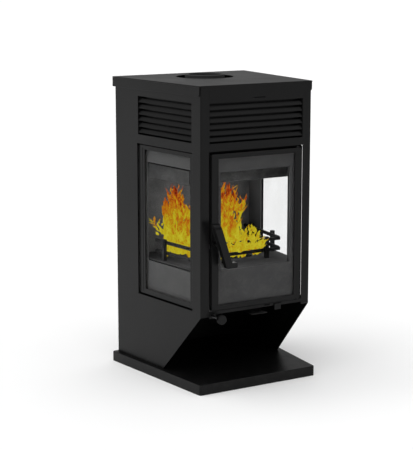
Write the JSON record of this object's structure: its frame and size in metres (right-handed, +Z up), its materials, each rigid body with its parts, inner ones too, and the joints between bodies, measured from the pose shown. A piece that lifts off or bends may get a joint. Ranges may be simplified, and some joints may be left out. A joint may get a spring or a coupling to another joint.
{
  "type": "wood burning stove",
  "caption": "Tapered freestanding steel log stove with a glazed door, side windows, convection louvres, air controls and an open log niche in its foot.",
  "frame": {"origin": "centre of the footprint of the whole stove, on the floor", "axes": "+Z up, the door faces -Y, +X to the right when facing the door from the front"},
  "size_m": [0.6096, 0.5986, 1.109],
  "materials": {
    "black_paint": "matt heat-resistant black stove paint",
    "firebox_paint": "matt black paint, dulled by heat",
    "wall_paint": "lighter coat, matt black paint, dulled by heat",
    "cast_iron": "fine sand-cast, black",
    "ceramic_glass": "clear glass-ceramic, faint grey tint",
    "firebrick": "pressed vermiculite, sooted",
    "sealing_rope": "braided glass-fibre rope, dark grey",
    "zinc_steel": "zinc-plated or turned steel"
  },
  "bodies": {
    "stove": {"base_plate": "black_paint", "levelling_feet": "zinc_steel", "left_side_panel": "black_paint", "right_side_panel": "black_paint", "front_header": "black_paint", "front_rail": "black_paint", "rear_panel": "black_paint", "top_cover": "black_paint", "header_rivets": "black_paint", "front_louvre": "black_paint", "left_louvre": "black_paint", "right_louvre": "black_paint", "left_window_frame": "black_paint", "right_window_frame": "black_paint", "left_window_glass": "ceramic_glass", "right_window_glass": "ceramic_glass", "window_seals": "sealing_rope", "window_clips": "zinc_steel", "support_rails": "black_paint", "firebox_front": "firebox_paint", "firebox_left_wall": "wall_paint", "firebox_right_wall": "wall_paint", "firebox_back": "firebox_paint", "firebox_roof": "firebox_paint", "firebox_bottom": "firebox_paint", "ash_chamber": "firebox_paint", "ash_pan": "black_paint", "hearth_plate": "firebox_paint", "hearth_grate": "cast_iron", "rear_brick_left": "firebrick", "rear_brick_right": "firebrick", "baffle_plate": "firebrick", "baffle_rests": "firebox_paint", "front_log_guard": "cast_iron", "left_log_guard": "cast_iron", "right_log_guard": "cast_iron", "flue_collar": "cast_iron", "collar_bolts": "zinc_steel", "convection_shield": "black_paint", "hinge_brackets": "black_paint", "hinge_pins": "zinc_steel", "latch_keeper": "zinc_steel", "air_rod_guides": "black_paint", "start_air_box": "black_paint", "secondary_air_duct": "firebox_paint"},
    "door": {"door_frame": "black_paint", "door_glass": "ceramic_glass", "door_inner_frame": "firebox_paint", "door_rope_seal": "sealing_rope", "door_screws": "black_paint", "door_hinge_bushes": "zinc_steel", "handle_bush": "black_paint"},
    "handle": {"handle_grip": "black_paint", "handle_shaft": "black_paint", "latch_cam": "zinc_steel"},
    "primary_air": {"air_knob": "black_paint", "air_rod": "zinc_steel", "air_damper": "firebox_paint"},
    "start_air": {"start_air_slide": "black_paint"},
    "secondary_air": {"secondary_air_slide": "black_paint"}
  },
  "joints": [
    {"name": "door_hinge", "type": "hinge", "parent": "stove", "child": "door", "pos_m": [0.178, -0.24325, 0.58], "axis": [0, 0, 1], "range_deg": [0, 110]},
    {"name": "handle_turn", "type": "hinge", "parent": "door", "child": "handle", "pos_m": [-0.1775, -0.24925, 0.545], "axis": [0, 1, 0], "range_deg": [0, 70]},
    {"name": "primary_air_pull", "type": "slide", "parent": "stove", "child": "primary_air", "axis": [0, -1, 0], "range_m": [0, 0.04]},
    {"name": "start_air_pull", "type": "slide", "parent": "stove", "child": "start_air", "axis": [0, -1, 0], "range_m": [0, 0.02]},
    {"name": "secondary_air_slide", "type": "slide", "parent": "stove", "child": "secondary_air", "axis": [-1, 0, 0], "range_m": [0, 0.044]}
  ]
}
